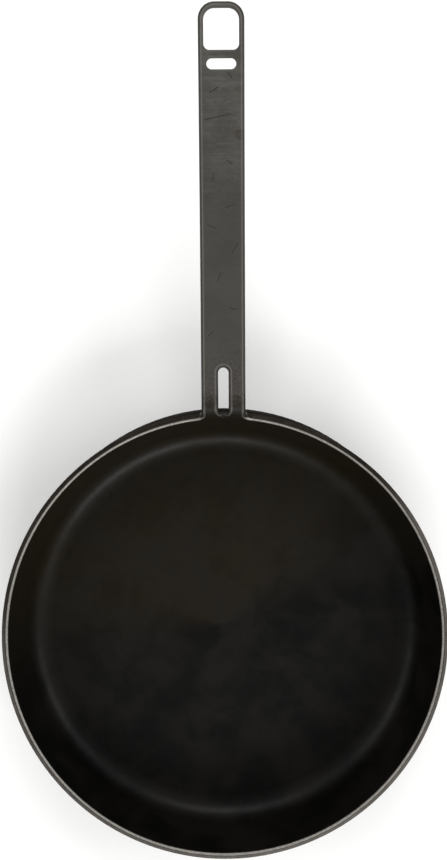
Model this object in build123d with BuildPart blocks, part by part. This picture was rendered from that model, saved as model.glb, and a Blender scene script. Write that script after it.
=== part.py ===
"""Long-handled iron skillet: a deep round bowl and a flat strap handle, butt-welded at two legs.

Millimetres. The origin is the middle of the flat base, +Z is up and the handle points along +Y.
The bowl's rim is a slightly flared lip. At the handle the lip carries on outwards as two bent
stubs with a round-ended slot between them, and the handle's two legs are welded to the stubs.
"""

import os
from math import asin, atan2, cos, degrees, hypot, radians, sin, tan

from build123d import *

os.makedirs("parts", exist_ok=True)

# Bowl
rim_diameter = 280.0        # over the rim's outer edge
rim_height = 50.0           # base to the rim's crest
plate_thickness = 4.5       # wall, stubs and handle
floor_thickness = 5.0
wall_flare = 11.0           # degrees from upright
inner_corner_radius = 14.0  # cooking surface, floor to wall
outer_corner_radius = 18.5  # underside, base to wall
lip_flare = 24.0            # degrees from upright, where the rim is cut off
edge_radius = 1.3           # rounding on the cut edges of the plate

# Apron: the wall is thicker outside, below the handle
apron_thickness = 3.4
apron_half_angle = 38.0     # degrees each side of the handle, where the apron has run out
apron_overrun = 0.5         # degrees its ring is carried on past that, inside the wall
apron_top_drop = 2.4        # below the rim's outer edge
apron_depth = 21.0          # height of its full thickness
apron_taper = 9.0           # height over which it fades into the wall below
apron_bite = 0.6            # how far its ring reaches into the wall

# Handle
handle_length = 236.0       # from the rim's outer edge to the tip, level
handle_width = 27.2
bend_radius = 9.5           # underside of the bend from the lip to the handle
root_slope = 6.0            # degrees above level at the bend
tip_slope = 14.0            # degrees above level at the tip
tip_corner_radius = 9.6
root_fillet = 4.5           # rim to the outside of each leg
leg_slot_width = 6.4
leg_slot_reach = 27.0       # from the rim's outer edge to the slot's far round end
leg_slot_set_back = 2.5     # from the rim's crest to the slot's near round end

# Openings at the tip
loop_band = 3.2             # metal left beside the hanging opening
loop_tip_band = 3.5         # metal left at the tip
loop_length = 23.0
loop_far_radius = 6.4
loop_near_radius = 3.5
eyelet_gap = 4.6            # bar between the hanging opening and the eyelet
eyelet_band = 4.85          # metal left beside the eyelet
eyelet_width = 6.2

# Weld
weld_centre = 11.0          # beyond the rim's outer edge
weld_root_gap = 1.0         # between the two pieces at the upper face
weld_bevel = 30.0           # degrees, on each of the two ends
weld_crown = 0.9            # bead's height below the plate

# Worked out from the values above, in the upright plane through the handle
rim_radius = rim_diameter / 2
bend_top_radius = bend_radius + plate_thickness
rim_crest_radius = rim_radius - plate_thickness * cos(radians(lip_flare))
bend_y = rim_crest_radius + bend_top_radius * cos(radians(lip_flare))
bend_z = rim_height - bend_top_radius * sin(radians(lip_flare))
tip_y = rim_radius + handle_length
mean_slope = (root_slope + tip_slope) / 2
weld_y = rim_radius + weld_centre
slot_end_y = rim_radius + leg_slot_reach
slot_start_y = rim_crest_radius + leg_slot_set_back
leg_outside = handle_width / 2
leg_inside = leg_slot_width / 2
leg_width = leg_outside - leg_inside
clear = 60.0                # how far a cutting solid runs past what it cuts


def bend_point(radius, elevation):
    """Point on the bend, where the plate's upper face looks `elevation` degrees above level."""
    return (bend_y - radius * cos(radians(elevation)), bend_z + radius * sin(radians(elevation)))


def wall_point(radius, height):
    """Point on the straight wall's face that meets the bend at `radius`, at a height."""
    start_r, start_z = bend_point(radius, wall_flare)
    return (start_r + (height - start_z) * tan(radians(wall_flare)), height)


def corner_points(face_radius, corner_radius, level):
    """Where a corner arc leaves the level face, its middle, and where it meets the wall."""
    flare = radians(wall_flare)
    start_r, start_z = bend_point(face_radius, wall_flare)
    centre_z = level + corner_radius
    along = (centre_z - start_z - corner_radius * sin(flare)) / cos(flare)
    centre_r = start_r + along * sin(flare) - corner_radius * cos(flare)
    middle = radians((270 + 360 - wall_flare) / 2)
    return (
        (centre_r, level),
        (centre_r + corner_radius * cos(middle), centre_z + corner_radius * sin(middle)),
        (start_r + along * sin(flare), start_z + along * cos(flare)),
    )


# The plate's upper face along the handle is one large arc, from the bend to the tip
root_top = bend_point(bend_top_radius, 90 - root_slope)
root_under = bend_point(bend_radius, 90 - root_slope)
sweep_radius = (tip_y - root_top[0]) / (sin(radians(tip_slope)) - sin(radians(root_slope)))
sweep_y = root_top[0] - sweep_radius * sin(radians(root_slope))
sweep_z = root_top[1] + sweep_radius * cos(radians(root_slope))


def strap_point(depth, slope):
    """Point in the handle, `depth` below its upper face, where it rises at `slope` degrees."""
    reach = sweep_radius + depth
    return (sweep_y + reach * sin(radians(slope)), sweep_z - reach * cos(radians(slope)))


def slope_at(y):
    """Slope of the handle's upper face at a distance y from the origin, in degrees."""
    return degrees(asin((y - sweep_y) / sweep_radius))


weld_slope = slope_at(weld_y)
weld_top = strap_point(0, weld_slope)
weld_under = strap_point(plate_thickness, weld_slope)


def along_weld(point, offset):
    """A point moved along the plate at the weld, towards the tip."""
    return (
        point[0] + offset * cos(radians(weld_slope)),
        point[1] + offset * sin(radians(weld_slope)),
    )


def corner_edges(part):
    """Edges of a solid where two faces meet at an angle, so not the joins of a smooth surface."""
    found = []
    faces = part.faces()
    for edge in part.edges():
        middle = edge.position_at(0.5)
        normals = [f.normal_at(middle) for f in faces if edge in f.edges()]
        if len(normals) == 2 and normals[0].get_angle(normals[1]) > 20:
            found.append(edge)
    return found


def is_rim_edge(edge):
    """Whether a corner edge is one of those rounded over: not the stubs' cut ends, nor the foot
    of the slot's near end, which stands on the land."""
    middle = edge.position_at(0.5)
    reach = hypot(middle.X, middle.Y)
    in_slot = abs(middle.X) < leg_inside - 0.01 and middle.Z < rim_height
    return middle.Z > rim_height - plate_thickness and reach < brim_reach - 0.5 and not in_slot


half_gap = weld_root_gap / 2
half_groove = half_gap + plate_thickness * tan(radians(weld_bevel))


def groove_side(direction, overshoot):
    """The two ends of a bevelled face, carried past both faces of the plate.

    direction is -1 for the bowl's side of the groove and 1 for the handle's.
    """
    slope = radians(weld_slope)
    rise = overshoot / cos(radians(weld_bevel))
    shift = rise * sin(radians(weld_bevel))
    upper = along_weld(weld_top, direction * (half_gap - shift))
    lower = along_weld(weld_under, direction * (half_groove + shift))
    return (
        (upper[0] - overshoot * sin(slope), upper[1] + overshoot * cos(slope)),
        (lower[0] + overshoot * sin(slope), lower[1] - overshoot * cos(slope)),
    )


# ---------------------------------------------------------------- bowl
inner_floor, inner_corner_mid, inner_wall_foot = corner_points(
    bend_top_radius, inner_corner_radius, floor_thickness
)
base_edge, outer_corner_mid, outer_wall_foot = corner_points(
    bend_radius, outer_corner_radius, 0
)
bend_mid = (wall_flare + 90 - root_slope) / 2
brim_reach = weld_y + half_groove + 4
brim_rise = (brim_reach - root_top[0]) * tan(radians(root_slope))
brim_under_rise = (brim_reach - root_under[0]) * tan(radians(root_slope))

# Section of the apron's ring, which is drawn about an axis set towards the handle
reach = rim_radius + apron_thickness
shift = (reach**2 - rim_radius**2) / (
    2 * (reach - rim_radius * cos(radians(apron_half_angle)))
)
run_out = atan2(
    rim_radius * sin(radians(apron_half_angle)),
    rim_radius * cos(radians(apron_half_angle)) - shift,
)
apron_sector = degrees(run_out) + apron_overrun
top_z = rim_height - plate_thickness * sin(radians(lip_flare)) - apron_top_drop
foot_z = top_z - apron_depth
fade_z = foot_z - apron_taper
bite = apron_thickness + apron_bite
outer_top = wall_point(bend_radius, top_z)[0] + apron_thickness - shift
outer_foot = wall_point(bend_radius, foot_z)[0] + apron_thickness - shift
fade_r = wall_point(bend_radius, fade_z)[0] - shift - apron_bite

# Everything above the land, the rim's sloping cut face
land_fall = tan(radians(lip_flare))
cut_inner_r = rim_crest_radius - 4
cut_outer_r = brim_reach + clear

with BuildPart() as above_land:
    with BuildSketch(Plane.XZ):
        with BuildLine():
            Polyline(
                (cut_inner_r, rim_height + 4 * land_fall),
                (cut_outer_r, rim_height - (cut_outer_r - rim_crest_radius) * land_fall),
                (cut_outer_r, rim_height + clear),
                (cut_inner_r, rim_height + clear),
                close=True,
            )
        make_face()
    revolve(axis=Axis.Z)

# The slot between the legs, cut upright through the handle and the stubs
with BuildSketch() as leg_slot:
    with Locations((0, (slot_start_y + slot_end_y) / 2)):
        SlotOverall(slot_end_y - slot_start_y, leg_slot_width, rotation=90)

# The footprint of the two legs, full height
with BuildPart() as legs:
    with BuildSketch():
        with Locations((0, weld_y)):
            Rectangle(handle_width, 2 * clear)
        add(leg_slot.sketch, mode=Mode.SUBTRACT)
    extrude(amount=4 * clear)

# What is cut off above the land, outside the legs
with BuildPart() as waste:
    add(above_land.part)
    add(legs.part, mode=Mode.SUBTRACT)

with BuildPart() as apron:
    with BuildSketch(Plane.XZ) as ring:
        with BuildLine():
            Polyline(
                (outer_top - bite, top_z + bite * land_fall / 2),
                (outer_top, top_z),
                (outer_foot, foot_z),
                (fade_r, fade_z),
                close=True,
            )
        make_face()
        fillet(ring.vertices().group_by(Axis.X)[-1], apron_thickness / 2)
    revolve(axis=Axis.Z, revolution_arc=2 * apron_sector)

apron_ring = apron.part.rotate(Axis.Z, 90 - apron_sector).moved(Location((0, shift, 0)))

with BuildPart() as bowl:
    with BuildSketch(Plane.XZ):
        with BuildLine():
            Line((0, floor_thickness), inner_floor)
            ThreePointArc(inner_floor, inner_corner_mid, inner_wall_foot)
            Line(inner_wall_foot, bend_point(bend_top_radius, wall_flare))
            ThreePointArc(
                bend_point(bend_top_radius, wall_flare),
                bend_point(bend_top_radius, bend_mid),
                root_top,
            )
            Line(root_top, (brim_reach, root_top[1] + brim_rise))
            Line(
                (brim_reach, root_top[1] + brim_rise),
                (brim_reach, root_under[1] + brim_under_rise),
            )
            Line((brim_reach, root_under[1] + brim_under_rise), root_under)
            ThreePointArc(
                root_under,
                bend_point(bend_radius, bend_mid),
                bend_point(bend_radius, wall_flare),
            )
            Line(bend_point(bend_radius, wall_flare), outer_wall_foot)
            ThreePointArc(outer_wall_foot, outer_corner_mid, base_edge)
            Line(base_edge, (0, 0))
            Line((0, 0), (0, floor_thickness))
        make_face()
    revolve(axis=Axis.Z)
    add(waste.part, mode=Mode.SUBTRACT)
    # the corners where the legs leave the rim
    rim_corners = [
        e for e in corner_edges(bowl)
        if rim_height - plate_thickness < e.position_at(0.5).Z < rim_height
        and abs(abs(e.position_at(0.5).X) - leg_outside) < 0.01
        and e.position_at(0.5).Y < rim_radius
    ]
    fillet(rim_corners, root_fillet)
    rim_edges = [e for e in corner_edges(bowl) if is_rim_edge(e)]
    fillet(rim_edges, edge_radius)
    add(apron_ring)
    # the stubs end at the weld's bevel
    with BuildSketch(Plane.YZ):
        with BuildLine():
            upper, lower = groove_side(-1, 10)
            Polyline(
                upper,
                lower,
                (brim_reach + clear, lower[1]),
                (brim_reach + clear, upper[1]),
                close=True,
            )
        make_face()
    extrude(amount=clear, both=True, mode=Mode.SUBTRACT)

bowl.part.label = "bowl"
export_step(bowl.part, "parts/bowl.step")

# ---------------------------------------------------------------- handle
tip_plane = Plane(
    origin=(0, *strap_point(0, tip_slope)),
    x_dir=(1, 0, 0),
    z_dir=(0, -sin(radians(tip_slope)), cos(radians(tip_slope))),
)
loop_width = handle_width - 2 * loop_band
eyelet_length = handle_width - 2 * eyelet_band
loop_middle = -(loop_tip_band + loop_length / 2)
eyelet_middle = -(loop_tip_band + loop_length + eyelet_gap + eyelet_width / 2)
strap_start = slope_at(weld_y - 2 * half_groove)
strap_middle = (strap_start + tip_slope) / 2


def strap_bend(depth):
    """Where the strap's tangents from its two ends cross, `depth` below the upper face."""
    span = (sweep_radius + depth) / cos(radians((tip_slope - strap_start) / 2))
    return (sweep_y + span * sin(radians(strap_middle)), sweep_z - span * cos(radians(strap_middle)))


with BuildPart() as handle:
    with BuildSketch(Plane.YZ):
        with BuildLine():
            Bezier(
                strap_point(0, strap_start),
                strap_bend(0),
                strap_point(0, tip_slope),
            )
            Line(strap_point(0, tip_slope), strap_point(plate_thickness, tip_slope))
            Bezier(
                strap_point(plate_thickness, tip_slope),
                strap_bend(plate_thickness),
                strap_point(plate_thickness, strap_start),
            )
            Line(strap_point(plate_thickness, strap_start), strap_point(0, strap_start))
        make_face()
    extrude(amount=leg_outside, both=True)
    tip_corners = handle.edges().filter_by(Axis.X, reverse=True).group_by(Axis.Y)[-1]
    fillet(tip_corners, tip_corner_radius)
    # the hanging opening and the eyelet, cut square to the plate
    with BuildSketch(tip_plane) as openings:
        with Locations((0, loop_middle)):
            Rectangle(loop_width, loop_length)
        fillet(openings.vertices().group_by(Axis.Y)[-1], loop_far_radius)
        fillet(openings.vertices().group_by(Axis.Y)[0], loop_near_radius)
        with Locations((0, eyelet_middle)):
            SlotOverall(eyelet_length, eyelet_width)
    extrude(amount=clear, both=True, mode=Mode.SUBTRACT)
    add(extrude(leg_slot.sketch, amount=4 * clear, mode=Mode.PRIVATE), mode=Mode.SUBTRACT)
    # the legs end at the weld's bevel
    start_y = strap_point(0, strap_start)[0]
    with BuildSketch(Plane.YZ):
        with BuildLine():
            upper, lower = groove_side(1, 10)
            Polyline(upper, lower, (start_y - clear, lower[1]), (start_y - clear, upper[1]), close=True)
        make_face()
    extrude(amount=clear, both=True, mode=Mode.SUBTRACT)
    strap_edges = [
        e for e in corner_edges(handle)
        if e.position_at(0.5).Y > along_weld(weld_under, half_groove)[0] + edge_radius
    ]
    fillet(strap_edges, edge_radius)

handle.part.label = "handle"
export_step(handle.part, "parts/handle.step")

# ---------------------------------------------------------------- welds
bead_low = along_weld(weld_under, 0)
bead_crown = (
    bead_low[0] + weld_crown * sin(radians(weld_slope)),
    bead_low[1] - weld_crown * cos(radians(weld_slope)),
)

with BuildPart() as bead:
    with BuildSketch(Plane.YZ):
        with BuildLine():
            Line(along_weld(weld_top, -half_gap), along_weld(weld_top, half_gap))
            Line(along_weld(weld_top, half_gap), along_weld(weld_under, half_groove))
            ThreePointArc(
                along_weld(weld_under, half_groove), bead_crown, along_weld(weld_under, -half_groove)
            )
            Line(along_weld(weld_under, -half_groove), along_weld(weld_top, -half_gap))
        make_face()
    extrude(amount=leg_width / 2, both=True)
    bead_edges = [
        e for e in corner_edges(bead)
        if abs(e.position_at(0.5).Y - weld_y) < half_groove / 3 and abs(e.position_at(0.5).X) > 1
    ]
    fillet(bead_edges, edge_radius)

for name, side in (("weld_left", -1), ("weld_right", 1)):
    weld = bead.part.moved(Location((side * (leg_inside + leg_width / 2), 0, 0)))
    weld.label = name
    export_step(weld, f"parts/{name}.step")
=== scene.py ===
import math
from functools import reduce

import bpy
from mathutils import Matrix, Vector

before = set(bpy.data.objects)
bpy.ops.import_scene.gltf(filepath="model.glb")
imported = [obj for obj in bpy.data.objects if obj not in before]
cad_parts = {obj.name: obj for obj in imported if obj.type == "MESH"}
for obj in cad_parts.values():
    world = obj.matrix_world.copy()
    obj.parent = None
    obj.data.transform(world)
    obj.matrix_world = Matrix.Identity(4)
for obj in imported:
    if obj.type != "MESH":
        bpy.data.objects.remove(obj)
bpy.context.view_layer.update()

MM = 0.001
X, Y = 0, 1


def furthest(name, axis):
    """How far a piece of the frame reaches along an axis, in millimetres."""
    return max(corner[axis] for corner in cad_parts[name].bound_box) / MM


# Sizes of the pan that the finishes follow, in millimetres from the middle of its base
RIM_WIDTH = 3.75
CREST_RADIUS = furthest("bowl", X) - RIM_WIDTH      # the rim's inner edge
CREST_HEIGHT = 50.0
LEG_OUTSIDE = furthest("handle", X)
LEG_INSIDE = -furthest("weld_left", X)
LEG_START = 100.0           # well inside the rim
LEG_CORNER = 3.0            # softness of the corner between rim and leg
LEG_CLIMB = 3.0             # height over which the rim turns into the legs
SLOT_SET_BACK = 2.5         # from the rim's inner edge to the slot
SLOT_START = CREST_RADIUS + SLOT_SET_BACK + LEG_INSIDE      # middle of the near round end
SLOT_END = 163.8            # and of the far one
SWEEP_RADIUS = 1665.2       # the strap's long upward curve
SWEEP_Y = -26.84
SWEEP_Z = 1714.3
TIP_LEAN = 0.8              # the tip's lower edge lies this much further out than its upper one
TIP_Y = furthest("handle", Y) - TIP_LEAN
TIP_CORNER = 9.6
EDGE_LINE = 1.75            # from the strap's side to where its top starts to round off

# This points away from the key light, nearly towards the handle. Towards this side the inside is
# painted lighter brown, as painted light where the key falls on the inner wall, and the rim's top
# is painted darker brown, as painted shade where it slopes away from the key
AWAY_FROM_KEY = Vector((-0.29, 0.96))

# Colours of the iron. A pair goes from its dark to its pale tone.
SEASONING_BLACK = (0.0012, 0.0011, 0.0009)
# Painted light: the brown the inside turns towards the wall that the key lights
SEASONING_PAINTED_LIGHT = (0.0085, 0.0062, 0.0028)
SEASONING_PATCH = (0.0058, 0.0044, 0.0026)
SEASONING_MOTTLE = (0.0030, 0.0027, 0.0022)
SOOT = (0.011, 0.0092, 0.0075), (0.024, 0.0195, 0.0155)
RIM_GREY = (0.055, 0.048, 0.041), (0.080, 0.072, 0.063)
# Painted shade for the rim's top on the side away from the key light
RIM_PAINTED_SHADE = (0.0050, 0.0038, 0.0024), (0.015, 0.011, 0.0075)
LEG_SPECKLE = (0.024, 0.021, 0.017), (0.062, 0.057, 0.048)
# Bare worn iron on the crest, made pale partly as a painted highlight
BARE_IRON_AND_HIGHLIGHT = (0.19, 0.178, 0.160), (0.33, 0.315, 0.29)
SPECKLE = (0.022, 0.019, 0.016), (0.058, 0.053, 0.045)
STRAP_GREY = (0.041, 0.037, 0.032), (0.066, 0.062, 0.054)
STRAP_BROWN = (0.034, 0.031, 0.026)
ROLLED_STREAK = (0.033, 0.029, 0.024)
PALE_GRAIN = (0.080, 0.075, 0.066)
DARK_SCUFF = (0.028, 0.024, 0.019)
PALE_SCUFF = (0.085, 0.081, 0.073)
SCRATCH_TONE = (0.017, 0.014, 0.011)
DENT_TONE = (0.030, 0.026, 0.021)
# Painted shade on rounded sides, and a bright line that is partly wear and partly a painted
# highlight
EDGE_PAINTED_SHADE = (0.018, 0.016, 0.014)
EDGE_WEAR_AND_HIGHLIGHT = (0.17, 0.16, 0.145)

# Plain scratches on the strap's upper face, in plan, each from one point to another
SCRATCHES = [
    [(-9, 186), (-6, 189)],
    [(4, 203), (8, 202)],
    [(-3, 219), (-1, 224)],
    [(6, 236), (9, 241)],
    [(-9, 252), (-4, 250)],
    [(2, 262), (7, 264)],
    [(-6, 277), (-5, 281)],
    [(3, 289), (6, 287)],
    [(-10, 312), (5, 315)],
    [(-7, 327), (-2, 330)],
    [(4, 338), (6, 335)],
]
DENT = [(11, 303.5), (12, 303.5)]


# ---------------------------------------------------------------- shader maths
class Value:
    """A number that varies over a surface. Sums on it add Math nodes to its finish."""

    def __init__(self, finish, socket):
        self.finish = finish
        self.socket = socket

    def __add__(self, other):
        return self.finish.maths("ADD", self, other)

    def __radd__(self, other):
        return self.finish.maths("ADD", other, self)

    def __sub__(self, other):
        return self.finish.maths("SUBTRACT", self, other)

    def __rsub__(self, other):
        return self.finish.maths("SUBTRACT", other, self)

    def __mul__(self, other):
        return self.finish.maths("MULTIPLY", self, other)

    def __rmul__(self, other):
        return self.finish.maths("MULTIPLY", other, self)

    def __truediv__(self, other):
        return self.finish.maths("DIVIDE", self, other)

    def __rtruediv__(self, other):
        return self.finish.maths("DIVIDE", other, self)

    def __abs__(self):
        return self.finish.maths("ABSOLUTE", self)


class Finish:
    """One material: its nodes, its surface shader and the places on the piece in millimetres."""

    def __init__(self, name, **constants):
        self.material = bpy.data.materials.new(name)
        self.material.use_nodes = True
        self.tree = self.material.node_tree
        self.tree.nodes.clear()
        self.shader = self.node("ShaderNodeBsdfPrincipled", inputs=constants)
        self.node("ShaderNodeOutputMaterial", inputs={"Surface": self.shader.outputs[0]})
        coordinates = self.node("ShaderNodeTexCoord").outputs
        self.place = self.vector("SCALE", coordinates["Object"], scale=1 / MM)
        self.x, self.y, self.z = self.parts(self.place)
        self.facing_x, self.facing_y, self.facing_z = self.parts(coordinates["Normal"])

    def node(self, kind, settings=None, inputs=None):
        """Any node: its type, its settings, then the values or links of its sockets."""
        made = self.tree.nodes.new(kind)
        for key, setting in (settings or {}).items():
            setattr(made, key, setting)
        for key, value in (inputs or {}).items():
            self.plug(made.inputs[key], value)
        return made

    def plug(self, socket, value):
        """Gives a socket a link, or a value of its own."""
        if isinstance(value, Value):
            value = value.socket
        if isinstance(value, bpy.types.NodeSocket):
            self.tree.links.new(value, socket)
        elif socket.type == "RGBA" and len(value) == 3:
            socket.default_value = (*value, 1)
        else:
            socket.default_value = value

    def parts(self, vector):
        split = self.node("ShaderNodeSeparateXYZ", inputs={0: vector})
        return [Value(self, part) for part in split.outputs]

    def maths(self, operation, *values):
        made = self.node("ShaderNodeMath", {"operation": operation}, dict(enumerate(values)))
        return Value(self, made.outputs[0])

    def vector(self, operation, first, second=None, scale=None):
        """Vector Math: a vector, or a number for a length or a dot product."""
        inputs = {0: first}
        if second is not None:
            inputs[1] = second
        if scale is not None:
            inputs["Scale"] = scale
        made = self.node("ShaderNodeVectorMath", {"operation": operation}, inputs)
        if operation in ("LENGTH", "DOT_PRODUCT"):
            return Value(self, made.outputs["Value"])
        return made.outputs["Vector"]

    def smaller(self, first, second):
        return self.maths("MINIMUM", first, second)

    def larger(self, first, second):
        return self.maths("MAXIMUM", first, second)

    def hypot(self, first, second):
        return self.maths("SQRT", first * first + second * second)

    def blend_smaller(self, first, second, softness):
        return self.maths("SMOOTH_MIN", first, second, softness)

    def rise(self, value, low, high):
        """0 below low, 1 above high and smooth between; low may be the greater one."""
        made = self.node(
            "ShaderNodeMapRange",
            {"interpolation_type": "SMOOTHSTEP", "clamp": True},
            {"Value": value, "From Min": low, "From Max": high},
        )
        return Value(self, made.outputs["Result"])

    def scaled(self, stretch):
        """The place, with each direction's pattern made finer by its own factor."""
        return self.vector("MULTIPLY", self.place, Vector(stretch))

    def cloud(self, size, detail, roughness, seed, place=None, distortion=0.0):
        """Noise from 0 to 1 with features about `size` millimetres across."""
        made = self.node(
            "ShaderNodeTexNoise",
            {"noise_dimensions": "4D"},
            {
                "Vector": place or self.place,
                "W": seed,
                "Scale": 1 / size,
                "Detail": detail,
                "Roughness": roughness,
                "Distortion": distortion,
            },
        )
        return Value(self, made.outputs[0])

    def mix(self, amount, first, second):
        """Colour that goes from the first to the second."""
        made = self.node(
            "ShaderNodeMix", {"data_type": "RGBA"}, {0: amount, 6: first, 7: second}
        )
        return made.outputs[2]

    def relief(self, height, depth, strength, under=None):
        """Bump of the given depth in millimetres, over another bump if there is one."""
        inputs = {"Height": height, "Distance": depth * MM, "Strength": strength}
        if under is not None:
            inputs["Normal"] = under
        return self.node("ShaderNodeBump", inputs=inputs).outputs["Normal"]

    def from_line(self, start, end):
        """Distance in plan from a straight line between two points, in millimetres."""
        run = Vector((end[X] - start[X], end[Y] - start[Y], 0))
        level = self.vector("MULTIPLY", self.place, Vector((1, 1, 0)))
        offset = self.vector("SUBTRACT", level, Vector((*start, 0)))
        along = self.vector("DOT_PRODUCT", offset, run) / run.length_squared
        along = self.smaller(self.larger(along, 0.0), 1.0)
        foot = self.vector("SCALE", run, scale=along)
        return self.vector("LENGTH", self.vector("SUBTRACT", offset, foot))

    def from_lines(self, lines):
        """Distance in plan from the nearest of some straight lines, in millimetres."""
        return reduce(self.smaller, [self.from_line(start, end) for start, end in lines])

    def finish(self, colour, roughness, normal, metallic, coat=0.0):
        """Plugs what varies into the surface shader."""
        surface = {
            "Base Color": colour,
            "Roughness": roughness,
            "Normal": normal,
            "Metallic": metallic,
            "Coat Weight": coat,
        }
        for key, value in surface.items():
            self.plug(self.shader.inputs[key], value)
        return self.material


# ---------------------------------------------------------------- finishes
def seasoned_iron():
    """Black seasoning inside, painted lighter brown towards the side away from the key as painted
    light; a worn bright crest, partly a painted highlight; a grey rim with dark brown painted
    shade on the side away from the key; and duller sooty sides.
    """
    f = Finish(
        "seasoned_iron",
        **{"Specular IOR Level": 0.1, "Coat Roughness": 0.3, "Coat IOR": 1.4},
    )
    swell = f.cloud(size=60.0, detail=2.0, roughness=0.5, seed=8.0)
    patches = f.cloud(size=34.0, detail=4.0, roughness=0.62, seed=1.0, distortion=0.4)
    mottle = f.cloud(size=6.5, detail=3.0, roughness=0.6, seed=2.0)
    ragged = f.cloud(size=2.2, detail=3.0, roughness=0.6, seed=3.0)
    speck = f.cloud(size=1.0, detail=3.0, roughness=0.7, seed=6.0)
    grain = f.cloud(size=0.75, detail=2.0, roughness=0.6, seed=5.0)

    # How far a place lies outside the pan's inner edge, which runs out along the two legs
    radius = f.hypot(f.x, f.y)
    across = abs(f.x)
    slot_y = f.larger(f.larger(SLOT_START - f.y, f.y - SLOT_END), 0.0)
    slot = f.hypot(across, slot_y) - LEG_INSIDE
    leg = f.larger(f.larger(across - LEG_OUTSIDE, 0 - slot), LEG_START - f.y)
    outside = f.blend_smaller(radius - CREST_RADIUS, leg, LEG_CORNER)

    height = f.z - CREST_HEIGHT
    climb = f.rise(height, 0.0, LEG_CLIMB)
    away_from_key = (f.x * AWAY_FROM_KEY.x + f.y * AWAY_FROM_KEY.y) / radius
    outward = (f.facing_x * f.x + f.facing_y * f.y) / radius
    up = f.rise(f.facing_z, 0.02, 0.25)

    # The outer wall and the underside
    under = f.larger(f.rise(outward, 0.62, 0.8), f.rise(f.facing_z, -0.1, -0.4))
    # The rim's flat top, which stops beside the slot
    beside_slot = f.rise(across, LEG_INSIDE, LEG_INSIDE + 0.5)
    beside_slot = f.larger(beside_slot, f.rise(f.y, 120.0, 110.0))
    flat = f.rise(outside, 1.25, 1.55) * f.rise(outside, RIM_WIDTH, RIM_WIDTH - 0.5)
    flat = flat * f.rise(height, -3.2, -2.6) * up * beside_slot
    # The legs, up to their welds
    legs = f.rise(height, 1.0, LEG_CLIMB) * f.rise(f.y, 141.0, 151.0) * (1 - under)
    # Painted shade on the legs' rounded sides
    painted_flank_shade = f.rise(outside, -1.5, -0.85) * climb
    # The worn bare line on the crest, partly a painted highlight, which moves to the legs' edges
    # as they climb
    line = abs(outside - (0.35 - 2.1 * climb)) + (ragged - 0.5) * 0.35
    line = f.rise(line, 0.85, 0.35) * f.rise(height, -2.4, -1.4) * up
    on_crest = f.rise(radius, CREST_RADIUS + 2.1, CREST_RADIUS + 1.3)
    line = line * f.larger(on_crest, f.rise(height, 0.0, 0.6))
    by_slot = f.rise(across, 6.0, 4.5) * f.rise(f.y, 134.0, 137.0)
    wear_and_highlight = line * (0.9 - 0.7 * f.larger(climb, by_slot))

    # Painted light: the inside turns from black to brown towards the side away from the key,
    # where the key lights the inner wall
    painted_wall_light = f.rise(away_from_key + (patches - 0.5) * 0.3, -0.2, 0.75)
    seasoning = f.mix(painted_wall_light, SEASONING_BLACK, SEASONING_PAINTED_LIGHT)
    seasoning = f.mix(f.rise(patches, 0.4, 0.68) * 0.6, seasoning, SEASONING_PATCH)
    seasoning = f.mix(f.rise(mottle, 0.35, 0.75) * 0.4, seasoning, SEASONING_MOTTLE)
    rim_grey = f.mix(f.rise(mottle, 0.3, 0.75), *RIM_GREY)
    # Painted shade: the rim's top goes from grey to dark brown on the side away from the key,
    # where it slopes away from that light
    rim_shade_tone = f.mix(f.rise(mottle, 0.3, 0.7), *RIM_PAINTED_SHADE)
    painted_rim_shade = f.rise(away_from_key + (mottle - 0.5) * 0.15, 0.15, 0.5)

    colour = f.mix(under, seasoning, f.mix(f.rise(patches, 0.35, 0.7), *SOOT))
    colour = f.mix(legs, colour, f.mix(f.rise(speck, 0.36, 0.66), *LEG_SPECKLE))
    colour = f.mix(flat, colour, f.mix(painted_rim_shade, rim_grey, rim_shade_tone))
    colour = f.mix(painted_flank_shade * 0.8, colour, EDGE_PAINTED_SHADE)
    colour = f.mix(wear_and_highlight, colour, f.mix(f.rise(speck, 0.3, 0.7), *BARE_IRON_AND_HIGHLIGHT))

    metallic = f.larger(f.larger(line * 0.4, flat * 0.2), legs * 0.3)
    roughness = 0.40 + 0.14 * f.rise(patches, 0.3, 0.7) + 0.14 * under
    roughness = roughness + 0.10 * f.rise(grain, 0.4, 0.7)
    normal = f.relief(swell, depth=0.6, strength=0.5)
    normal = f.relief(mottle, depth=0.10, strength=0.55, under=normal)
    normal = f.relief(grain, depth=0.05, strength=0.55, under=normal)
    coat = (1 - under) * (1 - flat) * (1 - legs) * f.rise(patches, 0.35, 0.6) * 0.12
    return f.finish(colour, roughness, normal, metallic, coat)


def strap_depth(f):
    """How far a place on the strap lies below its upper face."""
    reach = f.y - SWEEP_Y
    return SWEEP_Z - f.maths("SQRT", SWEEP_RADIUS**2 - reach * reach) - f.z


def speckled_iron(f):
    """Brown-black with pale specks, on the welds and beside them."""
    speck = f.cloud(size=1.0, detail=3.0, roughness=0.7, seed=6.0)
    return f.mix(f.rise(speck, 0.38, 0.66), *SPECKLE)


def edge_shade_wear_and_highlight(f, tone, inward, brightness):
    """Painted shade where the strap's side rounds off, under a bright line that is partly wear
    and partly a painted highlight; inward is in millimetres.
    """
    tone = f.mix(f.rise(inward, 1.5, 0.85) * 0.8, tone, EDGE_PAINTED_SHADE)
    return f.mix(f.rise(abs(inward - EDGE_LINE), 0.7, 0.1) * brightness, tone, EDGE_WEAR_AND_HIGHLIGHT)


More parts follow.
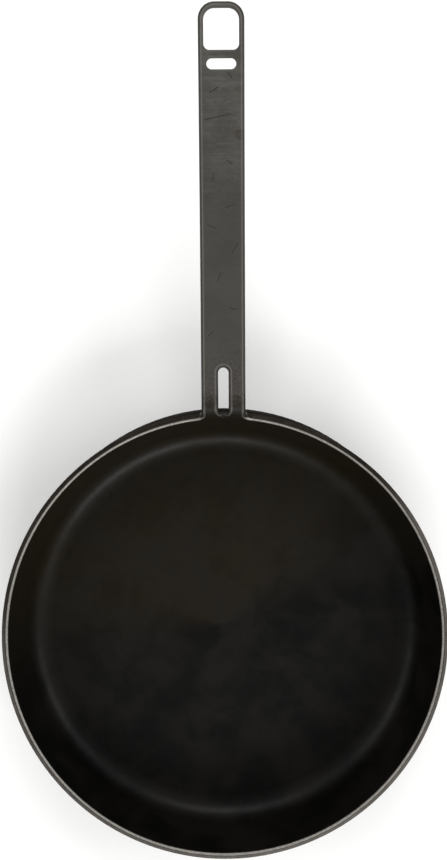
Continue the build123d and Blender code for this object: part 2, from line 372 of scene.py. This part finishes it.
def handle_iron():
    """Warm grey mill finish on the strap, brown and speckled by the rim, with a few scratches."""
    f = Finish("handle_iron", **{"Specular IOR Level": 0.4})
    broad = f.cloud(size=26.0, detail=3.0, roughness=0.6, seed=1.0, distortion=0.5)
    along_x = f.scaled((0.3, 1.7, 1.0))
    scuffs = f.cloud(size=7.0, detail=4.0, roughness=0.7, seed=9.0, place=along_x)
    along_x = f.scaled((0.35, 1.6, 1.0))
    rolled = f.cloud(size=3.2, detail=4.0, roughness=0.65, seed=2.0, place=along_x)
    fine = f.cloud(size=0.8, detail=3.0, roughness=0.65, seed=3.0)

    # How far a place lies inside the strap's outline, in plan
    across = abs(f.x)
    corner_x = f.larger(across - (LEG_OUTSIDE - TIP_CORNER), 0.0)
    corner_y = f.larger(f.y - (TIP_Y - TIP_CORNER), 0.0)
    tip = f.hypot(corner_x, corner_y) - TIP_CORNER
    slot = f.hypot(across, f.larger(f.y - SLOT_END, 0.0)) - LEG_INSIDE
    inward = f.smaller(0 - f.larger(across - LEG_OUTSIDE, tip), slot)

    top = f.rise(strap_depth(f), 0.75, 0.35)
    worn = f.rise(f.y, 200.0, 290.0)
    scratched = f.rise(f.from_lines(SCRATCHES) + (fine - 0.5) * 0.5, 0.58, 0.18) * top
    from_dent = f.from_line(*DENT)
    dent = f.rise(from_dent + (fine - 0.5) * 0.4, 3.3, 2.7)
    dent_rim = dent * f.rise(from_dent, 2.0, 3.0)

    tone = f.mix(f.rise(broad, 0.3, 0.7), *STRAP_GREY)
    tone = f.mix(f.rise(rolled, 0.42, 0.72) * 0.6, tone, ROLLED_STREAK)
    tone = f.mix(f.rise(scuffs, 0.52, 0.66) * worn * 0.6, tone, DARK_SCUFF)
    tone = f.mix(f.rise(scuffs, 0.46, 0.36) * worn * 0.5, tone, PALE_SCUFF)
    tone = f.mix(f.rise(fine, 0.4, 0.75) * 0.5, tone, PALE_GRAIN)
    tone = f.mix(f.rise(f.y, 330.0, 240.0) * 0.7, tone, STRAP_BROWN)
    tone = f.mix(f.rise(f.y, 196.0, 152.0) * 0.85, tone, speckled_iron(f))
    tone = f.mix(scratched * 0.85, tone, SCRATCH_TONE)
    tone = f.mix((dent * 0.65 + dent_rim * 0.35) * top, tone, DENT_TONE)
    # Painted shade and painted highlight along the strap's rounded sides
    tone = edge_shade_wear_and_highlight(f, tone, inward, top * 0.4)

    roughness = 0.46 + 0.12 * f.rise(broad, 0.3, 0.7) + 0.10 * f.rise(fine, 0.4, 0.7)
    normal = f.relief(broad, depth=0.35, strength=0.5)
    normal = f.relief(rolled, depth=0.05, strength=0.5, under=normal)
    normal = f.relief(fine, depth=0.035, strength=0.5, under=normal)
    normal = f.relief(1 - scratched, depth=0.10, strength=0.8, under=normal)
    return f.finish(tone, roughness, normal, metallic=0.25)


def weld_iron():
    """Dull grey bead, ground level with the plate on top."""
    f = Finish("weld_iron", **{"Specular IOR Level": 0.4})
    fine = f.cloud(size=0.6, detail=3.0, roughness=0.65, seed=4.0)
    across = abs(f.x)
    inward = f.smaller(LEG_OUTSIDE - across, across - LEG_INSIDE)
    # Painted shade and painted highlight along the bead's sides, as on the strap
    tone = edge_shade_wear_and_highlight(f, speckled_iron(f), inward, 0.3)
    roughness = 0.48 + 0.14 * f.rise(fine, 0.4, 0.7)
    normal = f.relief(fine, depth=0.04, strength=0.5)
    return f.finish(tone, roughness, normal, metallic=0.25)


finishes = {"bowl": seasoned_iron(), "handle": handle_iron()}
finishes["weld_left"] = finishes["weld_right"] = weld_iron()
for name, finish in finishes.items():
    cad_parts[name].material_slots[0].material = finish
for name in ("bowl", "handle"):
    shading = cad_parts[name].modifiers.new("even_shading", "WEIGHTED_NORMAL")
    shading.keep_sharp = True


# ---------------------------------------------------------------- floor, light, camera
FLOOR_SIZE = 12.0           # this and the rest are in metres
FLOOR_GAP = 0.0002          # below the pan's base, so that the two faces don't meet
CAMERA_PLACE = (-0.0001, 0.1286, 0.697)
CAMERA_ANGLE = math.radians(45)
CAMERA_TURN = math.radians(-0.37)
WORLD_STRENGTH = 0.5


def studio_floor():
    bpy.ops.object.select_all(action="DESELECT")
    bpy.ops.mesh.primitive_plane_add(size=FLOOR_SIZE, location=(0, 0, -FLOOR_GAP))
    floor = bpy.context.object
    floor.name = "studio_floor"
    f = Finish("studio_floor", **{"Base Color": (0.86, 0.86, 0.85), "Roughness": 0.9})
    floor.data.materials.append(f.material)


def softbox(name, place, target, size, power):
    lamp = bpy.data.lights.new(name, "AREA")
    lamp.shape = "RECTANGLE"
    lamp.size, lamp.size_y = size
    lamp.energy = power
    holder = bpy.data.objects.new(name, lamp)
    bpy.context.scene.collection.objects.link(holder)
    holder.location = place
    holder.rotation_euler = (Vector(target) - Vector(place)).to_track_quat("-Z", "Y").to_euler()


def overhead_camera():
    lens = bpy.data.cameras.new("camera")
    lens.sensor_fit = "VERTICAL"
    lens.angle = CAMERA_ANGLE
    camera = bpy.data.objects.new("camera", lens)
    bpy.context.scene.collection.objects.link(camera)
    camera.location = CAMERA_PLACE
    camera.rotation_euler = (0, 0, CAMERA_TURN)
    return camera


studio_floor()
softbox("key", place=(0.42, -1.35, 0.95), target=(0, 0.05, 0), size=(1.5, 0.7), power=26)
softbox("left_fill", place=(-1.4, 0.35, 0.8), target=(0, 0.1, 0), size=(0.9, 0.9), power=8)
softbox("right_fill", place=(1.4, 0.35, 0.8), target=(0, 0.1, 0), size=(0.9, 0.9), power=9)
softbox("back_fill", place=(0, 1.8, 1.3), target=(0, 0.2, 0), size=(1.4, 0.9), power=20)

world = bpy.data.worlds.new("studio")
bpy.context.scene.world = world
world.use_nodes = True
world.node_tree.nodes["Background"].inputs["Color"].default_value = (1, 1, 1, 1)
world.node_tree.nodes["Background"].inputs["Strength"].default_value = WORLD_STRENGTH

bpy.context.scene.camera = overhead_camera()
bpy.context.scene.view_settings.view_transform = "Standard"
